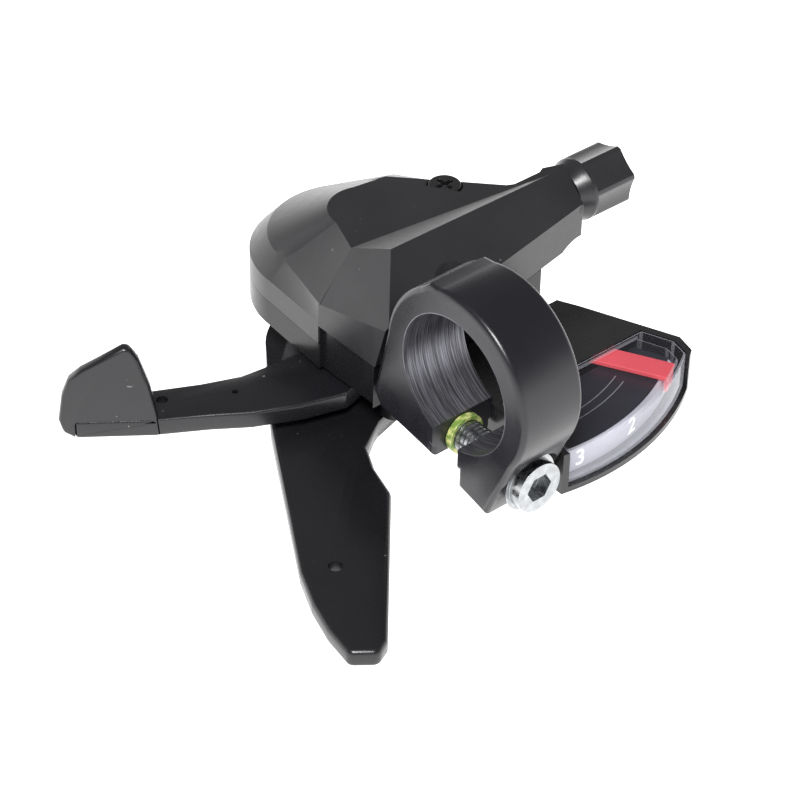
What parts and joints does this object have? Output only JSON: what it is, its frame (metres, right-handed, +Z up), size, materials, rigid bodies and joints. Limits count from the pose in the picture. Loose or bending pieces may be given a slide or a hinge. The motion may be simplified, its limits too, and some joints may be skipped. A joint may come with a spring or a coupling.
{
  "type": "bicycle thumb shifter",
  "caption": "Under-bar thumb shifter: split handlebar clamp, faceted cover, long thumb lever, short release lever, cable adjuster and a clear gear window with a swinging needle.",
  "frame": {"origin": "centre of the handlebar clamp bore", "axes": "+X along the handlebar towards the stem, +Y forwards away from the rider, +Z up along the lever pivot"},
  "size_m": [0.0961, 0.0783, 0.0436],
  "materials": {
    "clamp_gloss_black": "gloss black coated cast aluminium, rounded edges",
    "zinc_bolt": "zinc plated, satin",
    "lock_ring_green": "thread lock ring, dull green",
    "cover_black": "fine textured satin black",
    "case_black": "satin black",
    "plain_steel": "plain steel",
    "screw_black": "glossy black plated steel",
    "slip_plastic": "natural slippery plastic",
    "cap_black": "satin black",
    "main_lever_black": "matte black, glass filled plastic",
    "spring_steel": "bright spring wire",
    "release_lever_grey": "dark grey, satin",
    "drum_plastic": "grey slippery plastic",
    "adjuster_black": "dark satin",
    "tray_black": "dark grey to black, satin",
    "lens_clear": "clear polycarbonate, polished",
    "dial_blue_black": "blue black",
    "scale_light_grey": "light grey band",
    "needle_red": "pink red"
  },
  "bodies": {
    "housing": {"clamp_band": "clamp_gloss_black", "clamp_bolt": "zinc_bolt", "clamp_lock_ring": "lock_ring_green", "top_cover": "cover_black", "lower_case": "case_black", "base_plate": "plain_steel", "foot_screws": "plain_steel", "cover_screws": "screw_black", "pivot_shaft": "plain_steel", "shaft_nut": "plain_steel", "thrust_washers": "slip_plastic", "bottom_cap": "cap_black", "hold_pawl_pin": "plain_steel", "hold_pawl_spring": "spring_steel", "drum_spring": "spring_steel", "release_spring": "spring_steel", "main_spring": "spring_steel", "adjuster_spring": "spring_steel", "indicator_tray": "tray_black", "indicator_lens": "lens_clear", "dial_plate": "dial_blue_black", "gear_scale": "scale_light_grey", "needle_pin": "plain_steel", "tray_screw": "screw_black"},
    "main_lever": {"main_lever": "main_lever_black", "drive_pin": "plain_steel", "feed_pawl_spring": "spring_steel"},
    "feed_pawl": {"feed_pawl": "plain_steel"},
    "release_lever": {"release_lever": "release_lever_grey", "release_pin": "plain_steel"},
    "hold_pawl": {"hold_pawl": "plain_steel"},
    "cable_drum": {"cable_drum": "drum_plastic", "ratchet_wheel": "plain_steel"},
    "needle": {"indicator_needle": "needle_red"},
    "adjuster": {"barrel_adjuster": "adjuster_black"}
  },
  "joints": [
    {"name": "main_lever_push", "type": "hinge", "parent": "housing", "child": "main_lever", "pos_m": [0.008, 0.038, -0.023], "axis": [0, 0, 1], "range_deg": [-42, 0], "stiffness_Nm_per_rad": 0.15, "springref_deg": 6.88},
    {"name": "feed_pawl_lift", "type": "hinge", "parent": "main_lever", "child": "feed_pawl", "pos_m": [0.0144, 0.04909, -0.0107], "axis": [0, 0, 1], "range_deg": [0, 12], "stiffness_Nm_per_rad": 0.0001, "springref_deg": -11.46},
    {"name": "release_lever_pull", "type": "hinge", "parent": "housing", "child": "release_lever", "pos_m": [0.008, 0.038, -0.018], "axis": [0, 0, 1], "range_deg": [0, 14], "stiffness_Nm_per_rad": 0.15, "springref_deg": -6.88},
    {"name": "hold_pawl_lift", "type": "hinge", "parent": "housing", "child": "hold_pawl", "pos_m": [0.01906, 0.03026, -0.0107], "axis": [0, 0, 1], "range_deg": [0, 8.4]},
    {"name": "drum_turn", "type": "hinge", "parent": "housing", "child": "cable_drum", "pos_m": [0.008, 0.038, -0.0075], "axis": [0, 0, 1], "range_deg": [-64, 0]},
    {"name": "needle_swing", "type": "hinge", "parent": "housing", "child": "needle", "pos_m": [0.0151, 0.029, -0.0136], "axis": [0, 0, 1], "range_deg": [-34, 0]},
    {"name": "adjuster_turn", "type": "hinge", "parent": "housing", "child": "adjuster", "pos_m": [0.047, 0.0276, -0.0017], "axis": [1, 0, 0], "range_deg": [-360, 360]}
  ],
  "couplings": [
    {"joint": "hold_pawl_lift", "follows": "release_lever_pull", "ratio": 0.6},
    {"joint": "needle_swing", "follows": "drum_turn", "ratio": 0.53125}
  ]
}
